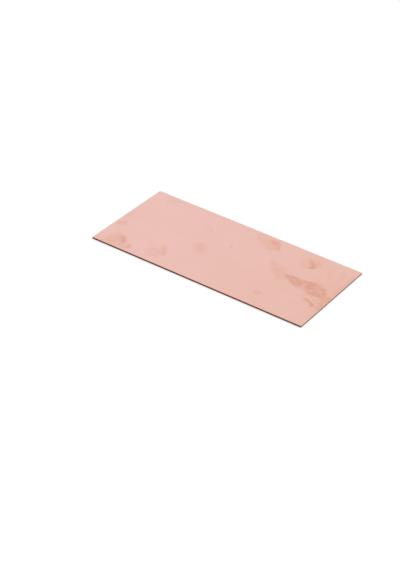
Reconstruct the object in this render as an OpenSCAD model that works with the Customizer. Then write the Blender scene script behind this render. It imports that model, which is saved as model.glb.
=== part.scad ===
// Flat copper sheet, cut to size on a guillotine shear.
// One solid piece of rolled stock, lying flat: length along X, width along Y,
// thickness along Z. The origin is the centre of the underside.

/* [Sheet] */
// Length of the sheet
sheet_length = 150; // [60:1:600]
// Width of the sheet
sheet_width = 75; // [30:1:300]
// Thickness of the rolled stock, 1 mm is 18 gauge
sheet_thickness = 1; // [0.6:0.1:3]
// Radius of the deburred corners, seen from above
corner_radius = 0.3; // [0.3:0.1:5]

/* [Sheared edge] */
// Radius of the rollover, where the blade pressed into the top face
rollover_radius = 0.14; // [0.05:0.01:0.2]
// Height of the straight, burnished land below the rollover
land_height = 0.2; // [0.05:0.05:0.3]
// How far the fractured lower part of the edge falls back from the land
fracture_setback = 0.04; // [0.01:0.01:0.1]
// Size of the filed break along the bottom edge
bottom_break = 0.05; // [0.02:0.01:0.1]

/* [Hidden] */
$fn = 48;
// Height at which the burnished land ends and the fracture begins
fracture_top = sheet_thickness - rollover_radius - land_height;
// Distance from the middle to the centres of the corner rounds
corner_x = sheet_length / 2 - corner_radius;
corner_y = sheet_width / 2 - corner_radius;

// One side of the sheared edge, from the underside up to the top face.
// reach is the distance from the middle of the section out to the edge.
function edge_points(reach) = [
    [reach - fracture_setback - bottom_break, 0],
    [reach - fracture_setback, bottom_break],
    [reach, fracture_top],
    [reach, sheet_thickness - rollover_radius],
    [reach - rollover_radius, sheet_thickness]
];

// The same points on the other side, in the opposite order
function mirrored(points) = [
    for (i = [len(points) - 1 : -1 : 0]) [-points[i][0], points[i][1]]
];

// Section across the sheet, with a sheared edge on both sides
module sheet_section(reach) {
    polygon(concat(edge_points(reach), mirrored(edge_points(reach))));
    for (side = [-1, 1])
        translate([side * (reach - rollover_radius), sheet_thickness - rollover_radius])
            circle(r = rollover_radius);
}

// Half of that section, for turning a corner
module corner_section() {
    polygon(concat([[0, 0]], edge_points(corner_radius), [[0, sheet_thickness]]));
    translate([corner_radius - rollover_radius, sheet_thickness - rollover_radius])
        circle(r = rollover_radius);
}

// Bar with the sheared section on its two long sides, running along Y
module sheared_bar(reach, run) {
    translate([0, run / 2, 0])
        rotate([90, 0, 0])
            linear_extrude(height = run)
                sheet_section(reach);
}

module copper_sheet() {
    color([0.92, 0.74, 0.69])
        union() {
            // between the corners, short edges at both ends
            sheared_bar(sheet_length / 2, 2 * corner_y);
            // between the corners, long edges at both sides
            rotate([0, 0, 90])
                sheared_bar(sheet_width / 2, 2 * corner_x);
            for (x = [-corner_x, corner_x], y = [-corner_y, corner_y])
                translate([x, y, 0])
                    rotate_extrude()
                        corner_section();
        }
}

copper_sheet();
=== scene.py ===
import math

import bpy
import numpy as np
from mathutils import Matrix, Vector, noise


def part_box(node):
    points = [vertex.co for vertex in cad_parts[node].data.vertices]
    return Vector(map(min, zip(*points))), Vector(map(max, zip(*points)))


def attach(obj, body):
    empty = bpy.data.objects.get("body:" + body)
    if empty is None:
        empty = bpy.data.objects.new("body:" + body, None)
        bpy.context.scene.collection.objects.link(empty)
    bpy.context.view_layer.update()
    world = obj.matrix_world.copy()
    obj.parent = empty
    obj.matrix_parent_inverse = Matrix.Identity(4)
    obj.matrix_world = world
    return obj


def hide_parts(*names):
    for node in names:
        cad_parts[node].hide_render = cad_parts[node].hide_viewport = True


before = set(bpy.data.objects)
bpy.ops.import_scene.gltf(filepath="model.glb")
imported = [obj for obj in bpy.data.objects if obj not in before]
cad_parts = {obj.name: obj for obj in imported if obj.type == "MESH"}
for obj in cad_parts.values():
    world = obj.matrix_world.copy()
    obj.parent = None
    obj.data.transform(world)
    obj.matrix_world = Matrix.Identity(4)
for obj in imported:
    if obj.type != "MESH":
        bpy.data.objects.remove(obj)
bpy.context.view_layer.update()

# ================================================================ sizes
# The geometry below is worked out in millimetres and is put in metres at the end.
low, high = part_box("copper_sheet")
HX = (high.x - low.x) * 500  # half the length
HY = (high.y - low.y) * 500  # half the width
T = (high.z - low.z) * 1000  # thickness
CORNER = 0.3  # radius of the deburred corners
ROLLOVER = 0.14  # radius where the blade pressed into the top face
FRACTURE_TOP = T - 0.34  # where the burnished land ends and the fracture starts
SETBACK = 0.04  # how far the fracture falls back
BREAK = 0.05  # filed break along the bottom edge

CELLS_X, CELLS_Y = 148, 74  # cells of the flat grid inside the edge
FINE = 6  # stations round the edge for each cell
ARC = 8  # stations round each corner
INSET = 1.2  # how far in the flat grid starts


def perlin(x, y, z, scale, seed=0.0):
    """Smooth noise from about -1 to 1 at a point in millimetres."""
    s = 1.0 / scale
    return noise.noise((x * s + seed * 17.31, y * s - seed * 9.73, z * s + seed * 5.19))


def smooth(a, b, x):
    t = np.clip((np.asarray(x, float) - a) / (b - a), 0.0, 1.0)
    return t * t * (3 - 2 * t)


# ================================================================ the outline
def rounded(inset):
    """Stations of the outline moved in by inset, anticlockwise from the middle of its front left corner, with their outward directions. Past the corner radius the corners stay a little round."""
    radius = max(CORNER - inset, 0.05)
    wide, tall = HX - inset, HY - inset
    cx, cy = wide - radius, tall - radius
    long_n, short_n = CELLS_X * FINE - ARC, CELLS_Y * FINE - ARC
    points, normals = [], []

    def arc(x, y, start, first, last):
        for k in range(first, last):
            a = math.radians(start + 90 * k / ARC)
            normals.append((math.cos(a), math.sin(a)))
            points.append((x + radius * math.cos(a), y + radius * math.sin(a)))

    def run(x0, y0, x1, y1, count, n):
        for k in range(count):
            t = k / count
            points.append((x0 + (x1 - x0) * t, y0 + (y1 - y0) * t))
            normals.append(n)

    arc(-cx, -cy, 180, ARC // 2, ARC)
    run(-cx, -tall, cx, -tall, long_n, (0, -1))
    arc(cx, -cy, 270, 0, ARC)
    run(wide, -cy, wide, cy, short_n, (1, 0))
    arc(cx, cy, 0, 0, ARC)
    run(cx, tall, -cx, tall, long_n, (0, 1))
    arc(-cx, cy, 90, 0, ARC)
    run(-wide, cy, -wide, -cy, short_n, (-1, 0))
    arc(-cx, -cy, 180, 0, ARC // 2)
    return np.array(points), np.array(normals, float)


def rectangle(inset, per_cell):
    """Points of a plain rectangle, anticlockwise from its front left corner."""
    x, y = HX - inset, HY - inset
    corners = np.array([(-x, -y), (x, -y), (x, y), (-x, y), (-x, -y)], float)
    counts = [CELLS_X * per_cell, CELLS_Y * per_cell] * 2
    sides = []
    for k in range(4):
        t = np.arange(counts[k])[:, None] / counts[k]
        sides.append(corners[k] + (corners[k + 1] - corners[k]) * t)
    return np.concatenate(sides)


outer, outward = rounded(0.0)
N = len(outer)

# ================================================================ how the shear left the edge
# Slow and quick variation along the cut, all of it inward so that the CAD size is kept.
slow = np.array([perlin(x, y, 0, 38, 1) for x, y in outer])
mid = np.array([perlin(x, y, 0, 7.5, 2) for x, y in outer])
quick = np.array([perlin(x, y, 0, 1.6, 3) for x, y in outer])
tooth = np.array([perlin(x, y, 0, 0.55, 4) for x, y in outer])
drag = np.array([perlin(x, y, 0, 0.34, 21) + 0.6 * perlin(x, y, 0, 0.9, 22) for x, y in outer])

roll = ROLLOVER * (1 + 0.10 * slow + 0.08 * mid)
split = FRACTURE_TOP + 0.045 * slow + 0.035 * mid + 0.030 * quick + 0.022 * tooth
in_cut = 0.003 * (1 + slow) + 0.002 * (1 + mid)

# Nicks from handling: side, place along it, half width, depth inward, height, and on which of the two edges.
NICKS = [
    ("front", -52.3, 0.55, 0.10, 0.12, "top"), ("front", -11.8, 0.35, 0.07, 0.08, "top"),
    ("front", 23.6, 0.80, 0.09, 0.10, "top"), ("front", 61.2, 0.40, 0.11, 0.12, "bottom"),
    ("front", 6.1, 0.45, 0.08, 0.08, "bottom"), ("right", -21.4, 0.50, 0.10, 0.11, "top"),
    ("right", 11.9, 0.35, 0.07, 0.07, "top"), ("right", 29.3, 0.60, 0.08, 0.09, "bottom"),
    ("back", -38.2, 0.45, 0.08, 0.09, "top"), ("back", 14.4, 0.70, 0.10, 0.11, "top"),
    ("back", 57.7, 0.35, 0.07, 0.08, "top"), ("back", -5.6, 0.50, 0.09, 0.09, "bottom"),
    ("left", 17.8, 0.55, 0.09, 0.10, "top"), ("left", -8.7, 0.40, 0.08, 0.08, "top"),
    ("left", -29.1, 0.45, 0.09, 0.10, "bottom"),
]
SIDES = {"front": (0, 1, -1), "back": (0, 1, 1), "left": (1, 0, -1), "right": (1, 0, 1)}
nick_in = {"top": np.zeros(N), "bottom": np.zeros(N)}
nick_tall = {"top": np.zeros(N), "bottom": np.zeros(N)}
for side, place, half, deep, tall, which in NICKS:
    along, across, sign = SIDES[side]
    u = np.abs(outer[:, along] - place) / half
    shape = np.where(outward[:, across] * sign > 0.7, np.exp(-(u ** 2) * 1.6) * (1 + 0.25 * tooth), 0.0)
    nick_in[which] += deep * shape
    nick_tall[which] += tall * shape

# The corners are worn a touch rounder on top than the sides.
from_corner = np.hypot(
    np.maximum(np.abs(outer[:, 0]) - (HX - 2.2), 0), np.maximum(np.abs(outer[:, 1]) - (HY - 2.2), 0)
)
corner_wear = smooth(2.1, 3.0, from_corner)


def edge_profile():
    """Inset and height of each ring at every station, from the flat of the top down and round to the flat of the underside, with its zone: 0 top, 0 to 1 rollover, 1 land, 2 fracture, 2.5 filed break, 3 underside."""
    rings = []

    def add(inset, z, zone):
        rings.append((np.zeros(N) + inset, np.zeros(N) + z, zone))

    add(0.40, T, 0.0)
    add(roll + 0.09, T - 0.0012, 0.0)
    for a, zone in ((76, 0.05), (58, 0.2), (40, 0.4), (22, 0.6), (7, 0.85)):
        c, s = math.cos(math.radians(a)), math.sin(math.radians(a))
        add(roll * (1 - c), T - roll * (1 - s), zone)
    for t in (0.15, 0.45, 0.75):
        add(0.0, (T - roll) + (split - (T - roll)) * t, 1.0)
    add(0.0, split + 0.008, 1.0)
    floor = BREAK + 0.002
    for t in (0.05, 0.16, 0.28, 0.40, 0.52, 0.64, 0.76, 0.88):
        add(SETBACK * t + 0.003, split + (floor - split) * t, 2.0)
    add(SETBACK, floor, 2.0)
    add(SETBACK + BREAK * 0.38, BREAK * 0.42, 2.5)
    add(SETBACK + BREAK, 0.0, 3.0)
    add(SETBACK + BREAK + 0.09, 0.0, 3.0)
    add(0.42, 0.0, 3.0)
    return rings


def torn(x, y, z):
    """How deep the torn part of the edge is, 0 to 1: grains pulled downward, so they are taller than wide."""
    coarse = perlin(x, y, z * 0.55, 0.62, 11)
    fine = perlin(x, y, z * 0.7, 0.30, 12)
    ridge = 1 - abs(perlin(x, y, z * 0.45, 0.95, 13)) * 2
    return min(max(0.45 + 0.42 * coarse + 0.26 * fine + 0.18 * ridge, 0.0), 1.0)


# Shallow dents and pits in the top face: x, y, radius, depth.
DENTS = [
    (-33.5, 12.0, 3.2, 0.012), (21.0, -17.5, 2.8, 0.014), (57.5, 29.5, 3.6, 0.010),
    (-8.0, -27.0, 2.6, 0.012), (4.5, 19.5, 4.0, 0.009), (-64.0, 9.5, 3.0, 0.010),
]


def sag(x, y, side):
    """How far the rolled face lies below its flat, in millimetres: slight waves and a few shallow dents, fading out at the edges."""
    d = min(HX - abs(x), HY - abs(y))
    fade = float(smooth(0.45, 5.0, d))
    wave = 0.5 + 0.5 * (perlin(x * 0.6, y, side, 21, 31) * 0.9 + perlin(x, y, side, 9.5, 32) * 0.35)
    depth = 0.016 * min(max(wave, 0.0), 1.0)
    if side > 0:
        for dx, dy, r, deep in DENTS:
            q = math.hypot(x - dx, y - dy) / r
            if q < 1:
                depth += deep * (1 - q * q) ** 2
    return depth * fade * (1.0 if side > 0 else 0.6)


# ================================================================ the mesh
verts, zones, tears, profile_length = [], [], [], []
previous = None
for inset, z, zone in edge_profile():
    if 0.05 <= zone < 3.0:
        inset = inset + in_cut * float(smooth(0.0, 0.4, min(zone, 1.0)))
    high_share = np.clip((z - (T - 0.42)) / 0.42, 0, 1) ** 1.3
    low_share = np.clip((0.36 - z) / 0.36, 0, 1) ** 1.3
    fade = np.exp(-((inset / 0.22) ** 2))
    sink = nick_tall["top"] * high_share * fade + corner_wear * 0.03 * high_share * fade
    rise = nick_tall["bottom"] * low_share * fade
    inset = inset + (nick_in["top"] * high_share + nick_in["bottom"] * low_share + corner_wear * 0.045 * high_share) * fade
    tear = np.zeros(N)
    if zone == 1.0:  # fine upright drag lines of the blade
        inset = inset + 0.003 * (1 + np.clip(drag, -1, 1))
    if zone == 2.0:  # torn grain
        tear = np.array([torn(x, y, zz) for (x, y), zz in zip(outer, z)])
        inset = inset + 0.030 * tear * np.clip((split - z) / 0.05, 0, 1) * np.clip((z - 0.03) / 0.06, 0, 1)
    z = z - sink + rise
    nominal = float(np.median(inset))
    base, direction = rounded(nominal)
    at = np.empty((N, 3))
    at[:, :2] = base - direction * (inset - nominal)[:, None]
    at[:, 2] = z
    verts.append(at)
    zones.append(np.full(N, zone))
    tears.append(tear)
    if previous is None:
        profile_length.append(np.zeros(N))
    else:
        profile_length.append(profile_length[-1] + np.linalg.norm(at - previous, axis=1))
    previous = at
K = len(verts)
total = K * N
faces, band_of = [], []  # band_of: 0 top, 1 edge, 2 underside
SEAM_TOP, SEAM_LOW = 2, K - 3  # rings where the maps of the faces meet the map of the edge

for k in range(K - 1):
    where = 0 if k < SEAM_TOP else (2 if k >= SEAM_LOW else 1)
    for i in range(N):
        j = (i + 1) % N
        faces.append((k * N + i, (k + 1) * N + i, (k + 1) * N + j, k * N + j))
        band_of.append(where)


def face_of_sheet(ring, side):
    """The flat face inside an edge ring: two rings that halve and third the number of points, and then a plain grid."""
    global total
    up = side > 0
    zone = 0.0 if up else 3.0
    base_z = T if up else 0.0

    def flip(f):
        return f if up else tuple(reversed(f))

    def level(x, y):
        return base_z - sag(x, y, side) if up else base_z + sag(x, y, side)

    # second ring: one point to three stations, halfway between an offset of the edge and the grid
    edge = verts[ring][::3, :2]
    inner = rectangle(INSET, 2)
    x = np.clip(0.5 * (edge[:, 0] + inner[:, 0]), -(HX - 0.74), HX - 0.74)
    y = np.clip(0.5 * (edge[:, 1] + inner[:, 1]), -(HY - 0.74), HY - 0.74)
    n2 = len(edge)
    second = total
    verts.append(np.array([(a, b, level(a, b)) for a, b in zip(x, y)]))
    total += n2
    for j in range(n2):
        f = [ring * N + (3 * j + s) % N for s in range(4)]
        c0, c1 = second + j, second + (j + 1) % n2
        for face in ((f[0], f[1], c0), (f[1], f[2], c1, c0), (f[2], f[3], c1)):
            faces.append(flip(face))
            band_of.append(0 if up else 2)
    # the grid
    gx = np.linspace(-(HX - INSET), HX - INSET, CELLS_X + 1)
    gy = np.linspace(-(HY - INSET), HY - INSET, CELLS_Y + 1)
    grid = total
    verts.append(np.array([(a, b, level(a, b)) for b in gy for a in gx]))
    total += len(gx) * len(gy)

    def g(i, j):
        return grid + j * len(gx) + i

    border = [g(i, 0) for i in range(CELLS_X)] + [g(CELLS_X, j) for j in range(CELLS_Y)]
    border += [g(CELLS_X - i, CELLS_Y) for i in range(CELLS_X)] + [g(0, CELLS_Y - j) for j in range(CELLS_Y)]
    n3 = len(border)
    for j in range(n3):
        f = [second + (2 * j + s) % n2 for s in range(3)]
        c0, c1 = border[j], border[(j + 1) % n3]
        for face in ((f[0], f[1], c0), (f[1], c1, c0), (f[1], f[2], c1)):
            faces.append(flip(face))
            band_of.append(0 if up else 2)
    for j in range(CELLS_Y):
        for i in range(CELLS_X):
            faces.append(flip((g(i, j), g(i + 1, j), g(i + 1, j + 1), g(i, j + 1))))
            band_of.append(0 if up else 2)
    count = n2 + len(gx) * len(gy)
    zones.append(np.full(count, zone))
    tears.append(np.zeros(count))


face_of_sheet(0, 1)
face_of_sheet(K - 1, -1)
points = np.concatenate(verts)
zone_all = np.concatenate(zones)
tear_all = np.concatenate(tears)

mesh = bpy.data.meshes.new("sheet")
mesh.from_pydata((points * 0.001 + np.array([0, 0, low.z])).tolist(), [], faces)
mesh.polygons.foreach_set("use_smooth", np.ones(len(faces), bool))


def attribute(name, values):
    a = mesh.attributes.new(name, "FLOAT", "POINT")
    a.data.foreach_set("value", np.asarray(values, np.float32))


# The edge colour starts at the very top of the rolled rim: partly the rim's duller finish, partly painted shade over
# its highlight.
attribute("cut", smooth(0.0, 0.35, zone_all) * (1 - smooth(2.5, 3.0, zone_all)))
attribute("fracture", smooth(1.0, 2.0, zone_all) * (1 - smooth(2.5, 3.0, zone_all)))
attribute("tear", tear_all)
# Mask of the two long edges, which get painted shade on their edge colour.
attribute("long", np.concatenate([np.tile(outward[:, 1] ** 2, K), np.zeros(total - K * N)]))

# ---------------------------------------------------------------- the map
# Both faces at one scale, and the edge as four strips stretched across, on one square.
MAP = 164.0  # millimetres on a side
GAP = 0.9
STRETCH = 2.0
step = np.linalg.norm(np.roll(outer, -1, 0) - outer, axis=1)
run = np.concatenate([[0.0], np.cumsum(step)])
starts = [0, CELLS_X * FINE, (CELLS_X + CELLS_Y) * FINE, (2 * CELLS_X + CELLS_Y) * FINE, N]
strip_top = 2 * (GAP + 2 * HY) + GAP
strip_tall = 2.9
origin = {
    0: (7.0, strip_top), 1: (7.0, strip_top + 2 * (strip_tall + GAP)),
    2: (7.0, strip_top + strip_tall + GAP), 3: (7.0 + 2 * HY + 2, strip_top + 2 * (strip_tall + GAP)),
}
length_all = np.concatenate(profile_length)
base_length = profile_length[SEAM_TOP]
layer = mesh.uv_layers.new(name="OFBake", do_init=False)
uv = np.zeros((len(mesh.loops), 2))
loop = 0
for face, where in zip(faces, band_of):
    if where == 1:
        first = min(v % N for v in face)
        wraps = first == 0 and max(v % N for v in face) == N - 1
        anchor = N - 1 if wraps else first
        side = max(s for s in range(4) if starts[s] <= anchor)
        ox, oy = origin[side]
    for v in face:
        px, py, _ = points[v]
        if where == 0:
            uv[loop] = (7.0 + HX + px, GAP + HY + py)
        elif where == 2:
            uv[loop] = (7.0 + HX - px, 2 * GAP + 3 * HY + py)
        else:
            i = v % N
            place = run[N] if (i < anchor and wraps) else run[i]
            if wraps and i == 0:
                place = run[N]
            uv[loop] = (ox + place - run[starts[side]], oy + (length_all[v] - base_length[i]) * STRETCH)
        loop += 1
layer.uv.foreach_set("vector", (uv / MAP).astype(np.float32).ravel())
mesh.validate()
mesh.update()

sheet = bpy.data.objects.new("sheet_copper", mesh)
bpy.context.scene.collection.objects.link(sheet)
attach(sheet, "root")
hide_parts("copper_sheet")


# ================================================================ the material
class Graph:
    """Short names for making nodes. A value is a number, a tuple or another node's socket."""

    def __init__(self, tree):
        self.tree = tree

    def node(self, kind, **settings):
        n = self.tree.nodes.new(kind)
        for key, value in settings.items():
            setattr(n, key, value)
        return n

    def put(self, socket, value):
        if isinstance(value, bpy.types.NodeSocket):
            self.tree.links.new(value, socket)
        elif value is not None:
            socket.default_value = value

    def math(self, op, a, b=None, c=None, clamp=False):
        n = self.node("ShaderNodeMath", operation=op, use_clamp=clamp)
        for socket, value in zip(n.inputs, (a, b, c)):
            self.put(socket, value)
        return n.outputs[0]

    def add(self, *values):
        total = values[0]
        for v in values[1:]:
            total = self.math("ADD", total, v)
        return total

    def mul(self, *values):
        total = values[0]
        for v in values[1:]:
            total = self.math("MULTIPLY", total, v)
        return total

    def vector(self, op, a, b=None, scale=None, out=0):
        n = self.node("ShaderNodeVectorMath", operation=op)
        self.put(n.inputs[0], a)
        if b is not None:
            self.put(n.inputs[1], b)
        if scale is not None:
            self.put(n.inputs["Scale"], scale)
        return n.outputs[out]

    def ramp(self, value, a, b, to_a=0.0, to_b=1.0, kind="SMOOTHSTEP"):
        n = self.node("ShaderNodeMapRange", interpolation_type=kind, clamp=kind == "LINEAR")  # smoothstep is bounded as it is
        for socket, v in zip(n.inputs, (value, a, b, to_a, to_b)):
            self.put(socket, v)
        return n.outputs[0]

    def mix(self, factor, a, b, blend="MIX"):
        n = self.node("ShaderNodeMix", data_type="RGBA", blend_type=blend, clamp_factor=True)
        self.put(n.inputs[0], factor)
        self.put(n.inputs[6], a if isinstance(a, bpy.types.NodeSocket) else (*a, 1.0))
        self.put(n.inputs[7], b if isinstance(b, bpy.types.NodeSocket) else (*b, 1.0))
        return n.outputs[2]

    def noise(self, vector, scale, detail=2.0, rough=0.5, distortion=0.0, color=False):
        n = self.node("ShaderNodeTexNoise", noise_dimensions="3D", normalize=True)
        self.put(n.inputs["Vector"], vector)
        self.put(n.inputs["Scale"], scale)
        self.put(n.inputs["Detail"], detail)
        self.put(n.inputs["Roughness"], rough)
        self.put(n.inputs["Distortion"], distortion)
        return n.outputs["Color" if color else "Fac"]

    def shift_field(self, vector, scale, detail, rough, amount):
        """A noise vector of up to half of amount each way, made with no change of socket type."""
        parts = self.node("ShaderNodeSeparateColor")
        self.put(parts.inputs[0], self.noise(vector, scale, detail, rough, color=True))
        joined = self.node("ShaderNodeCombineXYZ")
        for k in range(3):
            self.put(joined.inputs[k], parts.outputs[k])
        centred = self.vector("SUBTRACT", joined.outputs[0], (0.5, 0.5, 0.5))
        return self.vector("SCALE", centred, scale=amount)

    def place(self, vector, location=(0, 0, 0), angle=0.0, size=(1, 1, 1)):
        """vector as seen from a box at a place, turned and sized."""
        n = self.node("ShaderNodeMapping", vector_type="TEXTURE")
        self.put(n.inputs["Vector"], vector)
        n.inputs["Location"].default_value = location
        n.inputs["Rotation"].default_value = (0, 0, math.radians(angle))
        n.inputs["Scale"].default_value = size
        return n.outputs[0]


material = bpy.data.materials.new("copper_rolled")
material.use_nodes = True
tree = material.node_tree
tree.nodes.clear()
g = Graph(tree)
out = g.node("ShaderNodeOutputMaterial")
shader = g.node("ShaderNodeBsdfPrincipled")
tree.links.new(shader.outputs[0], out.inputs["Surface"])
coords = g.node("ShaderNodeTexCoord").outputs["Object"]
P = g.vector("SCALE", coords, scale=1000.0)  # millimetres
split_p = g.node("ShaderNodeSeparateXYZ")
g.put(split_p.inputs[0], P)
X, Y, Z = split_p.outputs
cut = g.node("ShaderNodeAttribute", attribute_name="cut").outputs["Fac"]
fracture = g.node("ShaderNodeAttribute", attribute_name="fracture").outputs["Fac"]
tear = g.node("ShaderNodeAttribute", attribute_name="tear").outputs["Fac"]
long_edges_painted_shade = g.node("ShaderNodeAttribute", attribute_name="long").outputs["Fac"]  # 1 on the two long edges
top = g.ramp(Z, 0.45, 0.55)  # 1 on the top face and 0 on the underside
under = g.math("SUBTRACT", 1.0, top)

# Distorted places for the stains: a slow wander and a fine ragged one.
wander = g.shift_field(P, 0.16, 2.0, 0.5, 1.6)
def plan(vector):
    """A place seen from above, as (x, y, 1), so that one dot product turns, sizes and shifts it."""
    parts = g.node("ShaderNodeSeparateXYZ")
    g.put(parts.inputs[0], vector)
    joined = g.node("ShaderNodeCombineXYZ")
    g.put(joined.inputs[0], parts.outputs[0])
    g.put(joined.inputs[1], parts.outputs[1])
    joined.inputs[2].default_value = 1.0
    return joined.outputs[0]


def square_radius(at, x, y, rx, ry, angle):
    """The square of the distance from an ellipse's centre, 1 at its rim."""
    c, s = math.cos(math.radians(angle)), math.sin(math.radians(angle))
    q1 = g.vector("DOT_PRODUCT", at, (c / rx, s / rx, -(c * x + s * y) / rx), out=1)
    q2 = g.vector("DOT_PRODUCT", at, (-s / ry, c / ry, -(c * y - s * x) / ry), out=1)
    return g.math("MULTIPLY_ADD", q1, q1, g.math("MULTIPLY", q2, q2))


PW = plan(g.vector("ADD", g.vector("ADD", P, wander), g.shift_field(P, 0.85, 3.0, 0.6, 1.1)))


def blob(x, y, rx, ry, angle=0.0, weight=1.0):
    """A soft ellipse: weight at its centre, 0 from its rim outward."""
    return g.ramp(square_radius(PW, x, y, rx, ry, angle), 1.0, 0.0, 0.0, weight)


def blobs(items):
    return g.add(*[blob(*item) for item in items])


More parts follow.
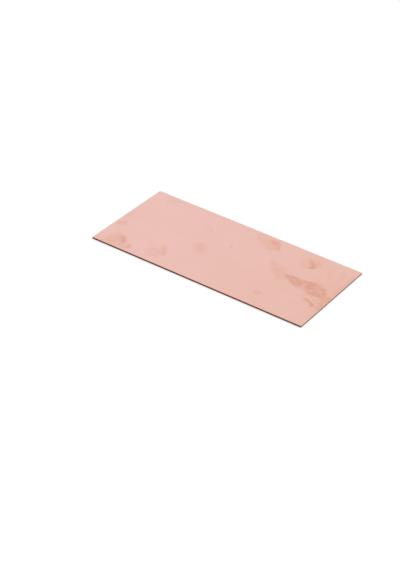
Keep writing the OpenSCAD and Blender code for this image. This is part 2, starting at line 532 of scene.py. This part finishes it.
# Finger marks and tarnish on the top face, each built from soft ellipses of four kinds of film. x, y, half lengths at which
# the film has faded to half, angle, strength.
MARKS = {
    "thumb": {
        "red": [(-59.3, -26.2, 1.8, 3.3, 40, 0.62), (-57.8, -28.6, 1.5, 2.6, 20, 0.50), (-57.1, -32.2, 1.2, 3.2, 4, 0.46), (-61.8, -24.8, 2.0, 1.7, -30, 0.14), (-60.4, -28.6, 1.7, 2.3, 20, 0.14)],
        "tan": [(-64.4, -29.6, 4.3, 5.6, 4, 0.72), (-59.8, -32.6, 3.0, 2.8, 0, 0.38), (-62.0, -24.2, 3.2, 2.8, -30, 0.40), (-64.4, -34.6, 3.0, 1.6, 0, 0.78), (-60.2, -29.2, 2.0, 2.8, 20, 0.44), (-55.8, -31.8, 1.7, 3.4, 4, 0.46),
                (-68.6, -35.0, 2.2, 2.9, 0, 0.64), (-60.4, -35.6, 2.6, 1.9, 0, 0.54), (-56.2, -35.4, 2.4, 2.1, 0, 0.46), (-52.4, -34.8, 1.7, 2.6, 0, 0.66), (-66.0, -37.0, 6.5, 1.2, 0, 0.36)],
        "grey": [(-62.8, -23.8, 2.8, 1.8, -20, 0.10), (-65.0, -30.4, 3.0, 3.8, 0, 0.22), (-57.6, -29.6, 1.0, 3.0, 14, 0.18)],
        "rose": [(-72.6, -32.6, 2.0, 4.8, 0, 0.56)],
    },
    "dot": {"red": [(-51.8, -31.0, 1.3, 2.0, 12, 0.70)], "rose": [(-51.6, -31.8, 1.7, 2.3, 0, 0.85)]},
    "ring": {
        "red": [(-32.7, -20.2, 1.4, 3.0, 28, 0.22), (-30.5, -24.4, 1.3, 2.2, 6, 0.20)],
        "tan": [(-33.0, -19.8, 2.6, 4.2, 28, 0.38), (-31.0, -24.8, 2.5, 3.2, 8, 0.34), (-37.4, -25.4, 4.6, 5.0, 0, 0.13), (-32.6, -29.8, 1.9, 1.9, 20, 0.20), (-32.4, -22.6, 1.9, 3.2, 22, 0.12), (-36.4, -30.0, 2.4, 1.4, 0, 0.16)],
        "grey": [(-32.3, -20.4, 0.9, 2.4, 30, 0.20), (-30.4, -24.4, 0.9, 1.9, 4, 0.26), (-35.0, -23.4, 0.8, 2.6, 24, 0.22), (-31.6, -28.2, 0.9, 1.6, -24, 0.12), (-36.6, -26.4, 4.6, 4.4, 0, 0.07), (-41.6, -20.4, 2.6, 2.6, 0, 0.10)],
        "rose": [(-37.4, -26.6, 4.8, 4.8, 0, 0.60), (-34.8, -17.4, 2.1, 2.8, 35, 0.46), (-32.6, -30.0, 1.9, 1.8, 20, 0.30), (-38.0, -21.6, 2.8, 2.6, 20, 0.30)],
    },
    "oval": {
        "tan": [(-17.2, -4.4, 4.1, 6.2, 28, 0.50), (-17.4, -4.0, 2.4, 3.4, 24, 0.22), (-15.4, -7.2, 2.4, 2.6, 20, 0.14)],
        "rose": [(-16.8, -4.8, 5.8, 7.4, 28, 0.34)], "grey": [(-19.4, 0.4, 1.7, 1.3, 0, 0.20)],
    },
    "back": {
        "red": [(16.2, 31.6, 2.3, 2.1, 0, 0.58), (17.8, 30.8, 2.0, 2.4, 20, 0.06), (19.6, 27.8, 1.8, 3.6, 27, 0.38), (16.4, 34.4, 2.0, 1.7, 0, 0.16), (14.4, 30.6, 1.7, 1.8, 0, 0.24)],
        "rose": [(16.6, 33.0, 2.4, 3.0, 20, 0.40), (20.2, 26.0, 2.1, 3.2, 24, 0.34)],
        "tan": [(12.9, 32.8, 2.2, 2.2, 15, 0.86), (11.6, 28.8, 4.4, 3.8, 10, 0.58), (5.8, 32.0, 3.6, 3.6, -8, 0.46), (7.6, 35.2, 3.8, 1.5, 0, 0.34), (15.6, 24.8, 2.5, 3.0, 20, 0.46), (18.2, 26.4, 1.6, 3.2, 28, 0.50), (16.4, 29.8, 2.2, 2.2, 0, 0.40), (16.2, 33.4, 1.9, 1.9, 0, 0.26)],
        "grey": [(20.7, 29.2, 0.75, 4.4, 27, 0.84), (18.5, 34.2, 0.7, 2.0, 22, 0.10), (5.6, 29.6, 1.7, 1.5, 0, 0.22), (15.8, 23.8, 1.9, 1.5, 0, 0.20)],
    },
    "crescent": {
        "red": [(46.3, 26.4, 1.9, 4.0, 32, 0.38), (48.2, 22.5, 1.8, 2.6, 8, 0.44), (50.4, 24.4, 1.6, 3.0, 0, 0.22)],
        "tan": [(44.3, 28.0, 2.2, 2.8, 30, 0.74), (46.8, 25.2, 2.4, 4.0, 32, 0.62), (47.6, 22.0, 2.2, 2.4, 0, 0.44), (43.0, 25.4, 4.4, 6.2, 16, 0.52), (50.0, 26.6, 2.6, 4.0, 20, 0.34), (44.8, 20.4, 3.8, 2.1, 10, 0.34), (48.6, 30.0, 3.0, 3.2, 34, 0.44)],
        "grey": [(48.2, 21.5, 1.4, 1.6, 0, 0.44), (46.0, 26.8, 0.9, 2.6, 32, 0.20), (44.0, 19.7, 3.2, 1.0, 12, 0.22)],
    },
    "lobes": {
        "red": [
            (42.4, 4.8, 2.6, 1.6, -12, 0.44), (46.0, 5.0, 2.8, 1.9, -8, 0.54), (49.8, 4.8, 2.7, 2.5, 0, 0.52), (46.2, 2.4, 2.8, 1.7, -36, 0.46), (49.6, 0.9, 2.7, 2.4, -32, 0.56),
            (51.8, -0.8, 2.1, 2.3, -10, 0.44), (52.8, 3.6, 1.7, 3.2, 10, 0.36), (54.0, 6.0, 2.0, 2.2, 0, 0.46), (57.2, 6.4, 3.0, 2.5, 0, 0.70), (61.2, 6.6, 2.7, 2.2, -10, 0.60),
            (57.8, 2.8, 3.2, 3.0, -20, 0.72), (60.4, -0.8, 3.1, 3.1, -20, 0.66), (63.4, 2.6, 2.4, 2.6, 0, 0.24), (65.4, -2.4, 3.3, 3.2, 0, 0.76), (68.6, -2.0, 1.9, 3.4, 10, 0.44),
            (61.8, -4.0, 2.4, 1.5, -20, 0.44), (67.8, 2.4, 1.7, 2.6, 32, 0.42), (65.8, 5.6, 2.2, 1.6, -36, 0.36), (70.6, -2.4, 1.3, 2.6, 8, 0.20),
            (43.4, 2.1, 3.2, 1.5, -38, 0.34), (47.6, -0.8, 3.0, 1.5, -38, 0.28), (56.2, 0.2, 1.7, 2.8, -14, 0.40), (59.4, -4.4, 2.4, 1.5, -28, 0.30),
        ],
        "rose": [(65.0, -2.4, 2.6, 3.2, 0, 0.66), (46.8, 6.0, 1.9, 1.3, 0, 0.55), (57.2, 5.4, 2.8, 2.4, 0, 0.30), (50.6, 3.2, 2.0, 2.2, 0, 0.30)],
        "grey": [
            (40.9, 4.5, 2.2, 1.3, -24, 0.60), (43.2, 2.7, 2.2, 1.1, -38, 0.36), (45.4, 5.4, 2.6, 1.3, -6, 0.44), (50.4, 1.6, 1.7, 2.6, 20, 0.26), (52.8, 1.2, 0.8, 2.6, 10, 0.30), (64.4, 5.0, 2.8, 1.6, -38, 0.50),
            (67.2, 2.0, 1.3, 2.8, 36, 0.42), (63.2, 3.2, 1.7, 2.0, 0, 0.26), (53.4, 5.2, 0.8, 2.4, 14, 0.16), (44.2, 1.2, 2.4, 1.1, -38, 0.16), (40.4, 2.4, 1.7, 1.9, -20, 0.30), (42.8, 6.8, 1.5, 1.1, -10, 0.34), (38.9, 4.4, 1.1, 1.3, 0, 0.28),
        ],
        "tan": [
            (50.2, -2.5, 2.8, 1.2, -28, 0.84), (46.6, 0.3, 2.4, 1.2, -38, 0.50), (52.8, 0.6, 1.7, 2.6, 15, 0.62), (50.0, 2.6, 2.4, 2.6, 0, 0.34), (66.2, 5.6, 2.3, 1.8, -40, 0.76), (69.6, 0.8, 1.6, 3.2, 28, 0.62),
            (70.4, -4.4, 1.9, 3.0, 0, 0.56), (58.0, 2.4, 4.0, 4.2, 10, 0.34), (53.4, 4.6, 1.2, 2.6, 12, 0.40), (63.6, 3.0, 2.2, 2.4, 0, 0.34), (40.4, 2.2, 1.9, 1.9, -20, 0.26), (67.0, -8.0, 2.4, 2.2, 0, 0.34),
            (43.8, 0.8, 3.2, 1.8, -38, 0.46), (46.8, -1.8, 3.0, 1.4, -38, 0.36), (56.8, -2.2, 2.0, 3.2, -22, 0.46), (61.4, -6.2, 3.6, 1.6, -24, 0.40), (62.4, 9.2, 3.6, 1.6, -12, 0.42),
        ],
    },
    "end": {
        "tan": [(72.6, -5.0, 2.3, 4.6, 0, 0.86), (72.8, -12.0, 2.0, 3.8, 0, 0.56), (74.2, 5.0, 1.3, 8.0, 0, 0.46), (69.2, -9.4, 2.4, 2.4, 0, 0.42), (73.6, 22.0, 1.6, 9.0, 0, 0.50), (70.6, 9.4, 3.8, 6.4, 0, 0.24)],
        "red": [(73.2, -2.2, 1.4, 2.8, 0, 0.40), (73.8, -12.2, 1.3, 2.8, 0, 0.24), (72.4, -6.8, 1.6, 1.8, 0, 0.12)],
    },
    "lead_in": {
        "tan": [(28.0, 10.8, 3.2, 2.2, -10, 0.50), (30.6, 7.4, 4.4, 4.6, 30, 0.40), (35.2, 3.2, 4.4, 4.6, 26, 0.36), (38.2, -0.8, 3.2, 2.0, -20, 0.42), (36.4, 8.0, 3.0, 2.4, 20, 0.20)], "rose": [(34.0, 4.4, 4.6, 5.4, 30, 0.22)],
        "grey": [(34.0, 9.9, 1.8, 0.75, 36, 0.40), (36.8, 11.4, 1.7, 0.7, 22, 0.34), (28.0, 11.2, 1.5, 1.1, 0, 0.16), (33.0, 5.0, 2.0, 3.8, 30, 0.12)],
    },
    "streak": {
        "tan": [(63.8, -11.4, 2.8, 1.2, -14, 0.66), (69.4, -14.2, 2.2, 2.0, 0, 0.50), (63.4, -13.6, 3.6, 1.8, -14, 0.40), (73.4, -16.6, 1.4, 2.4, 0, 0.50)],
        "grey": [(63.4, -11.2, 2.6, 0.9, -12, 0.74), (61.4, -10.4, 1.2, 0.8, -20, 0.36), (67.0, -12.0, 1.9, 0.8, -16, 0.46), (68.8, -15.2, 1.2, 1.5, -30, 0.30)],
        "red": [(67.6, -13.2, 2.0, 1.2, -30, 0.62), (69.0, -15.0, 1.4, 1.8, -30, 0.48), (64.6, -11.8, 2.4, 0.9, -16, 0.30)],
    },
    "small": {"tan": [(36.4, -23.2, 2.1, 2.6, 15, 0.52)], "red": [(36.8, -23.6, 1.4, 1.7, 10, 0.14)], "grey": [(37.2, -23.2, 1.0, 1.6, 10, 0.22)]},
    "haze": {
        "tan": [(54.0, 27.0, 6.0, 8.0, 10, 0.15), (59.0, 12.4, 6.0, 3.6, 0, 0.22), (60.0, -9.0, 5.0, 3.4, 0, 0.14), (67.6, 25.0, 1.9, 6.6, 10, 0.40), (61.0, 24.0, 1.6, 5.0, 18, 0.28), (65.6, 15.4, 4.6, 4.0, 0, 0.16), (-62.0, 32.4, 7.0, 3.4, 0, 0.25), (-71.0, 22.0, 2.8, 5.4, 0, 0.14), (-27.0, 19.6, 3.8, 2.6, -35, 0.12), (6.0, 35.0, 5.0, 1.6, 0, 0.12), (-33.6, 34.2, 4.4, 1.8, 0, 0.24), (64.2, 23.8, 1.8, 3.2, 10, 0.22)],
        "grey": [(63.4, 19.6, 3.0, 2.6, 20, 0.18), (59.6, 22.4, 0.9, 3.4, 22, 0.18), (67.8, 28.0, 0.8, 3.0, 12, 0.18)],
        "rose": [(48.0, 33.0, 5.0, 2.4, 0, 0.26), (36.6, 33.2, 2.2, 1.4, 0, 0.36), (55.0, 12.0, 6.0, 3.0, 0, 0.10), (-7.0, 33.4, 3.4, 1.2, 0, 0.40), (-60.4, 30.0, 4.8, 4.6, 0, 0.22), (59.8, -20.9, 3.0, 2.6, 0, 0.30)],
    },
    "left_edge": {
        "red": [(-72.0, -12.4, 1.3, 2.1, 0, 0.56), (-73.0, -2.0, 1.2, 4.0, 0, 0.16)],
        "grey": [(-69.6, -9.6, 0.9, 2.3, 6, 0.62)], "tan": [(-68.6, -11.6, 1.6, 2.0, 0, 0.30), (-71.2, -10.8, 2.2, 2.6, -20, 0.36)], "rose": [(-72.4, 0.0, 1.8, 3.0, 0, 0.50), (-68.0, 1.0, 3.0, 2.2, 0, 0.20), (-72.4, 4.6, 1.8, 2.6, 0, 0.32)],
    },
    "specks": {"tan": [(-22.4, 17.0, 1.3, 1.4, 0, 0.10), (-3.0, 9.8, 1.2, 2.3, 30, 0.20)], "grey": [(-22.4, 17.0, 1.4, 1.5, 0, 0.24), (-3.0, 9.8, 1.2, 2.4, 30, 0.36), (0.1, -7.3, 1.1, 1.0, 0, 0.16), (-60.4, 2.4, 2.2, 1.0, 50, 0.12), (-44.6, 2.2, 1.1, 2.2, 20, 0.12), (-36.0, 2.6, 1.8, 0.8, 45, 0.12)]},
}
SPREAD = 1.42  # from the half-faded length to the rim of a soft ellipse
film = {}
for kind in ("red", "tan", "grey", "rose"):
    items = [item for mark in MARKS.values() for item in mark.get(kind, ())]
    film[kind] = blobs([(x, y, rx * SPREAD, ry * SPREAD, angle, weight) for x, y, rx, ry, angle, weight in items])

# Ridges of the skin inside the finger marks, about half a millimetre apart.
ridge_p = plan(g.vector("ADD", P, g.vector("SCALE", wander, scale=3.0)))


def ridges(x, y, sx, sy, angle):
    r = g.math("SQRT", square_radius(ridge_p, x, y, sx, sy, angle))
    return g.math("SINE", g.mul(r, 2 * math.pi / 0.52))


print_1 = g.mul(ridges(-63.0, -33.0, 1.0, 1.25, 15), blob(-61.7, -28.6, 9.0, 9.5))
print_2 = g.mul(ridges(-37.0, -27.0, 1.0, 1.3, -20), blob(-35.6, -24.4, 9.0, 9.5))
print_3 = g.mul(ridges(44.0, 21.0, 1.0, 1.2, 25), blob(46.0, 25.0, 8.5, 8.5))
print_4 = g.mul(ridges(-18.0, -8.0, 1.0, 1.3, 25), blob(-17.2, -4.2, 6.0, 8.0))
prints = g.mul(g.add(print_1, print_2, print_3, print_4), top)

# The films are mottled: cloudy at two scales, with thinner pinholes, and streaked a little by wiping.
cloudy = g.ramp(g.noise(P, 0.50, 4.0, 0.62), 0.28, 0.72, 0.80, 1.14, "LINEAR")
mottle = g.ramp(g.noise(P, 1.9, 4.0, 0.66), 0.28, 0.72, 0.88, 1.10, "LINEAR")
pinhole = g.ramp(g.noise(g.vector("ADD", P, (13.0, 41.0, 0.0)), 4.6, 2.0, 0.5), 0.60, 0.74, 1.0, 0.80)
veil = g.mul(cloudy, mottle, pinhole, top)
with_prints = g.math("ADD", 1.0, g.mul(prints, 0.20))


def cover(kind):
    return g.math("MULTIPLY", g.mul(film[kind], veil), with_prints, clamp=True)


red, tan, grey, rose = (cover(kind) for kind in ("red", "tan", "grey", "rose"))

# The underside, which is out of the photograph's sight: soft generic marks.
under_soft = g.ramp(g.noise(P, 0.045, 4.0, 0.6, 0.6), 0.52, 0.74)
under_spot = g.ramp(g.noise(g.vector("ADD", P, (31.0, 7.0, 0.0)), 0.11, 3.0, 0.55, 0.9), 0.58, 0.74)
under_veil = g.mul(cloudy, mottle, under)
tan = g.math("MAXIMUM", tan, g.mul(under_soft, under_veil, 0.55))
red = g.math("MAXIMUM", red, g.mul(under_spot, under_veil, 0.55))

# Base colour of the faces
CLEAN = (0.948, 0.589, 0.527)
colour = g.mix(g.ramp(g.noise(P, 0.035, 3.0, 0.55), 0.35, 0.65), CLEAN, (0.938, 0.578, 0.512))
# a little warmer towards the right, and warmest at the middle of the right end
t_long = g.ramp(X, -62.0, 66.0, 0.0, 0.40)
t_end = g.mul(
    g.ramp(g.add(X, g.mul(g.math("ABSOLUTE", g.add(Y, 2.0)), -0.42)), 52.0, 72.0, 0.0, 0.62),
    g.ramp(g.noise(P, 0.09, 3.0, 0.55), 0.30, 0.70, 0.70, 1.25, "LINEAR"),
)
colour = g.mix(g.add(t_long, t_end), colour, (0.966, 0.918, 0.852), "MULTIPLY")
colour = g.mix(tan, colour, (0.950, 0.893, 0.800), "MULTIPLY")
colour = g.mix(rose, colour, (0.975, 0.925, 0.948), "MULTIPLY")
colour = g.mix(red, colour, (0.905, 0.765, 0.690), "MULTIPLY")
colour = g.mix(grey, colour, (0.885, 0.825, 0.782), "MULTIPLY")
# rolling streaks along the length, and a fine fleck
streak_p = g.place(P, (0, 0, 0), 0.6, (34.0, 0.55, 1.0))
streaks = g.noise(streak_p, 1.0, 4.0, 0.6)
streak_fine = g.noise(g.place(P, (3, 5, 0), -0.4, (9.0, 0.17, 1.0)), 1.0, 3.0, 0.6)
bright = g.add(
    0.985, g.mul(g.math("SUBTRACT", streaks, 0.5), 0.045), g.mul(g.math("SUBTRACT", streak_fine, 0.5), 0.030),
    g.mul(g.math("SUBTRACT", g.noise(P, 1.9, 3.0, 0.6), 0.5), 0.03),
)
bright_rgb = g.node("ShaderNodeCombineColor")
for s in bright_rgb.inputs:
    g.put(s, bright)
colour = g.mix(1.0, colour, bright_rgb.outputs[0], "MULTIPLY")

# Hairline scratches in a few directions
def scratches(angle, length, width, low_t, high_t, shift):
    q = g.place(g.vector("ADD", P, g.vector("SCALE", wander, scale=0.75)), (shift, -shift * 0.7, 0), angle, (length, width, 50.0))
    return g.ramp(g.noise(q, 1.0, 1.0, 0.4), low_t, high_t)


hair = g.math("MAXIMUM", scratches(31, 26.0, 0.16, 0.74, 0.82, 3.0), scratches(-14, 18.0, 0.14, 0.75, 0.83, 11.0))
hair = g.math("MAXIMUM", hair, scratches(74, 14.0, 0.15, 0.76, 0.84, 23.0))
hair = g.math("MAXIMUM", hair, scratches(4, 40.0, 0.18, 0.72, 0.80, 37.0))
hair = g.mul(hair, g.math("SUBTRACT", 1.0, cut))
colour = g.mix(g.mul(hair, 0.35), colour, (0.965, 0.660, 0.590))

# Tiny dark specks of oxide
cell = g.node("ShaderNodeTexVoronoi", feature="F1", voronoi_dimensions="2D")
g.put(cell.inputs["Vector"], g.vector("ADD", P, g.shift_field(P, 2.6, 3.0, 0.6, 0.34)))
g.put(cell.inputs["Scale"], 0.27)
pick = g.node("ShaderNodeSeparateColor")
g.put(pick.inputs[0], cell.outputs["Color"])
speck_r = g.ramp(g.math("POWER", pick.outputs[0], 2.2), 0.0, 1.0, 0.008, 0.050, "LINEAR")
speck = g.ramp(g.math("SUBTRACT", cell.outputs["Distance"], speck_r), -0.012, 0.014, 1.0, 0.0)
speck = g.mul(speck, g.ramp(pick.outputs[1], 0.84, 1.0, 0.0, 1.0, "LINEAR"), g.math("SUBTRACT", 1.0, cut))
colour = g.mix(g.mul(speck, 0.75), colour, (0.60, 0.34, 0.26))

# The cut edge: burnished land, torn and tarnished fracture, worn bright where it is proud. Its base colours are darker
# than bare cut copper: partly tarnish, partly painted shade of a dark surround.
edge_noise = g.noise(P, 0.35, 4.0, 0.65)
edge_fine = g.noise(g.place(P, (0, 0, 0), 0, (0.16, 0.16, 0.5)), 1.0, 3.0, 0.6)
land_colour = g.mix(g.ramp(edge_noise, 0.30, 0.70), (0.205, 0.052, 0.028), (0.36, 0.112, 0.070))
land_colour = g.mix(g.ramp(edge_fine, 0.42, 0.80, 0.0, 0.45), land_colour, (0.52, 0.215, 0.150))
fracture_colour = g.mix(g.ramp(edge_noise, 0.30, 0.70), (0.160, 0.036, 0.016), (0.285, 0.072, 0.036))
fracture_colour = g.mix(g.ramp(g.math("SUBTRACT", edge_fine, g.mul(tear, 0.35)), 0.22, 0.62, 0.0, 0.5), fracture_colour, (0.42, 0.125, 0.072))
fracture_colour = g.mix(g.mul(tear, 0.45), fracture_colour, (0.110, 0.026, 0.012))
edge_colour_and_shade = g.mix(fracture, land_colour, fracture_colour)
# Painted shade: the long edges darker and redder than the short ones, as the front edge falls darker under the light.
edge_colour_and_shade = g.mix(long_edges_painted_shade, edge_colour_and_shade, (0.70, 0.56, 0.42), "MULTIPLY")
colour = g.mix(cut, colour, edge_colour_and_shade)

# Roughness
rough = g.add(
    0.235, g.mul(g.math("SUBTRACT", streaks, 0.5), 0.10), g.mul(g.math("SUBTRACT", streak_fine, 0.5), 0.07),
    g.mul(g.math("SUBTRACT", g.noise(P, 0.09, 3.0, 0.55), 0.5), 0.08),
    g.mul(tan, 0.05), g.mul(red, 0.08), g.mul(grey, 0.08), g.mul(prints, 0.03), g.mul(hair, 0.10), g.mul(speck, 0.25),
)
rough_edge = g.add(g.ramp(fracture, 0.0, 1.0, 0.34, 0.56, "LINEAR"), g.mul(g.math("SUBTRACT", edge_fine, 0.5), 0.16))
mix_rough = g.node("ShaderNodeMix", data_type="FLOAT")
g.put(mix_rough.inputs[0], cut)
g.put(mix_rough.inputs[2], rough)
g.put(mix_rough.inputs[3], rough_edge)

# Relief, in millimetres
face_share = g.math("SUBTRACT", 1.0, cut)
relief = g.add(
    g.mul(g.noise(g.place(P, (0, 0, 0), 0, (1.6, 1.0, 1.0)), 0.028, 2.0, 0.4), 0.22),  # slow waves of thin rolled stock
    g.mul(streaks, 0.0022), g.mul(streak_fine, 0.0016), g.mul(g.noise(P, 3.2, 3.0, 0.6), 0.0010),
    g.mul(hair, -0.0035), g.mul(speck, 0.002),
)
relief = g.mul(relief, face_share)
relief_edge = g.mul(
    cut,
    g.add(
        g.mul(g.noise(g.place(P, (0, 0, 0), 0, (0.10, 0.10, 0.9)), 1.0, 2.0, 0.5), g.ramp(fracture, 0.0, 1.0, 0.010, 0.0, "LINEAR")),
        g.mul(g.noise(P, 5.5, 4.0, 0.65), g.ramp(fracture, 0.0, 1.0, 0.002, 0.030, "LINEAR")),
    ),
)
bump = g.node("ShaderNodeBump")
bump.inputs["Strength"].default_value = 1.0
bump.inputs["Distance"].default_value = 0.001
g.put(bump.inputs["Height"], g.add(relief, relief_edge))

tree.links.new(colour, shader.inputs["Base Color"])
shader.inputs["Metallic"].default_value = 1.0
tree.links.new(mix_rough.outputs[0], shader.inputs["Roughness"])
tree.links.new(bump.outputs[0], shader.inputs["Normal"])
mesh.materials.append(material)

# ================================================================ floor, light and camera
bpy.ops.mesh.primitive_circle_add(vertices=96, radius=6.0, fill_type="NGON", location=(0, 0, 0))
floor = bpy.context.object
floor.name = "floor"
floor.location.z = -0.00002
paper = bpy.data.materials.new("white_paper")
paper.use_nodes = True
pg = Graph(paper.node_tree)
paper.node_tree.nodes.clear()
p_out = pg.node("ShaderNodeOutputMaterial")
diffuse = pg.node("ShaderNodeBsdfDiffuse")
diffuse.inputs["Color"].default_value = (0.42, 0.42, 0.42, 1)
glow = pg.node("ShaderNodeEmission")
glow.inputs["Color"].default_value = (1, 1, 1, 1)
glow.inputs["Strength"].default_value = 0.220
both = pg.node("ShaderNodeAddShader")
paper.node_tree.links.new(diffuse.outputs[0], both.inputs[0])
paper.node_tree.links.new(glow.outputs[0], both.inputs[1])
paper.node_tree.links.new(both.outputs[0], p_out.inputs["Surface"])
floor.data.materials.append(paper)

world = bpy.data.worlds.new("studio")
bpy.context.scene.world = world
world.use_nodes = True
wt = world.node_tree
wt.nodes.clear()
w = Graph(wt)
w_out = w.node("ShaderNodeOutputWorld")
w_bg = w.node("ShaderNodeBackground")
wt.links.new(w_bg.outputs[0], w_out.inputs["Surface"])
direction = w.node("ShaderNodeTexCoord").outputs["Generated"]
# A white tent: bright behind and above, a little darker towards the camera's side.
facing = w.vector("DOT_PRODUCT", direction, (-0.43, 0.76, 0.49), out=1)
tent = w.ramp(facing, -0.75, 0.45, 0.62, 0.905)
is_camera = w.node("ShaderNodeLightPath").outputs["Is Camera Ray"]
strength = w.node("ShaderNodeMix", data_type="FLOAT")
w.put(strength.inputs[0], is_camera)
w.put(strength.inputs[2], tent)
strength.inputs[3].default_value = 1.0
w_bg.inputs["Color"].default_value = (1, 1, 1, 1)
wt.links.new(strength.outputs[0], w_bg.inputs["Strength"])

key_data = bpy.data.lights.new("key", "SUN")
key_data.energy = 4.0  # from behind on the right
key_data.angle = math.radians(60)
key = bpy.data.objects.new("key", key_data)
key.visible_glossy = False  # it shapes the shadow on the floor, and the tent alone lights the metal
bpy.context.scene.collection.objects.link(key)
key.rotation_euler = Vector((-0.40, -0.41, -0.82)).to_track_quat("-Z", "Y").to_euler()

camera_data = bpy.data.cameras.new("camera")
camera = bpy.data.objects.new("camera", camera_data)
bpy.context.scene.collection.objects.link(camera)
bpy.context.scene.camera = camera
camera_data.sensor_width = 36.0
camera_data.sensor_fit = "AUTO"
camera_data.lens = 109.504
camera_data.clip_start = 0.01
camera_data.clip_end = 50
az, el, roll_a = math.radians(29.725), math.radians(33.020), math.radians(5.906)
target, distance = Vector((0.005719, -0.039352, 0.0010)), 1.035991
back = Vector((math.sin(az) * math.cos(el), -math.cos(az) * math.cos(el), math.sin(el)))
right = Vector((math.cos(az), math.sin(az), 0))
up = back.cross(right)
r2 = math.cos(roll_a) * right + math.sin(roll_a) * up
u2 = -math.sin(roll_a) * right + math.cos(roll_a) * up
place = target + back * distance
camera.matrix_world = Matrix(
    ((r2.x, u2.x, back.x, place.x), (r2.y, u2.y, back.y, place.y), (r2.z, u2.z, back.z, place.z), (0, 0, 0, 1))
)
bpy.context.scene.view_settings.view_transform = "Standard"
bpy.context.scene.view_settings.look = "None"
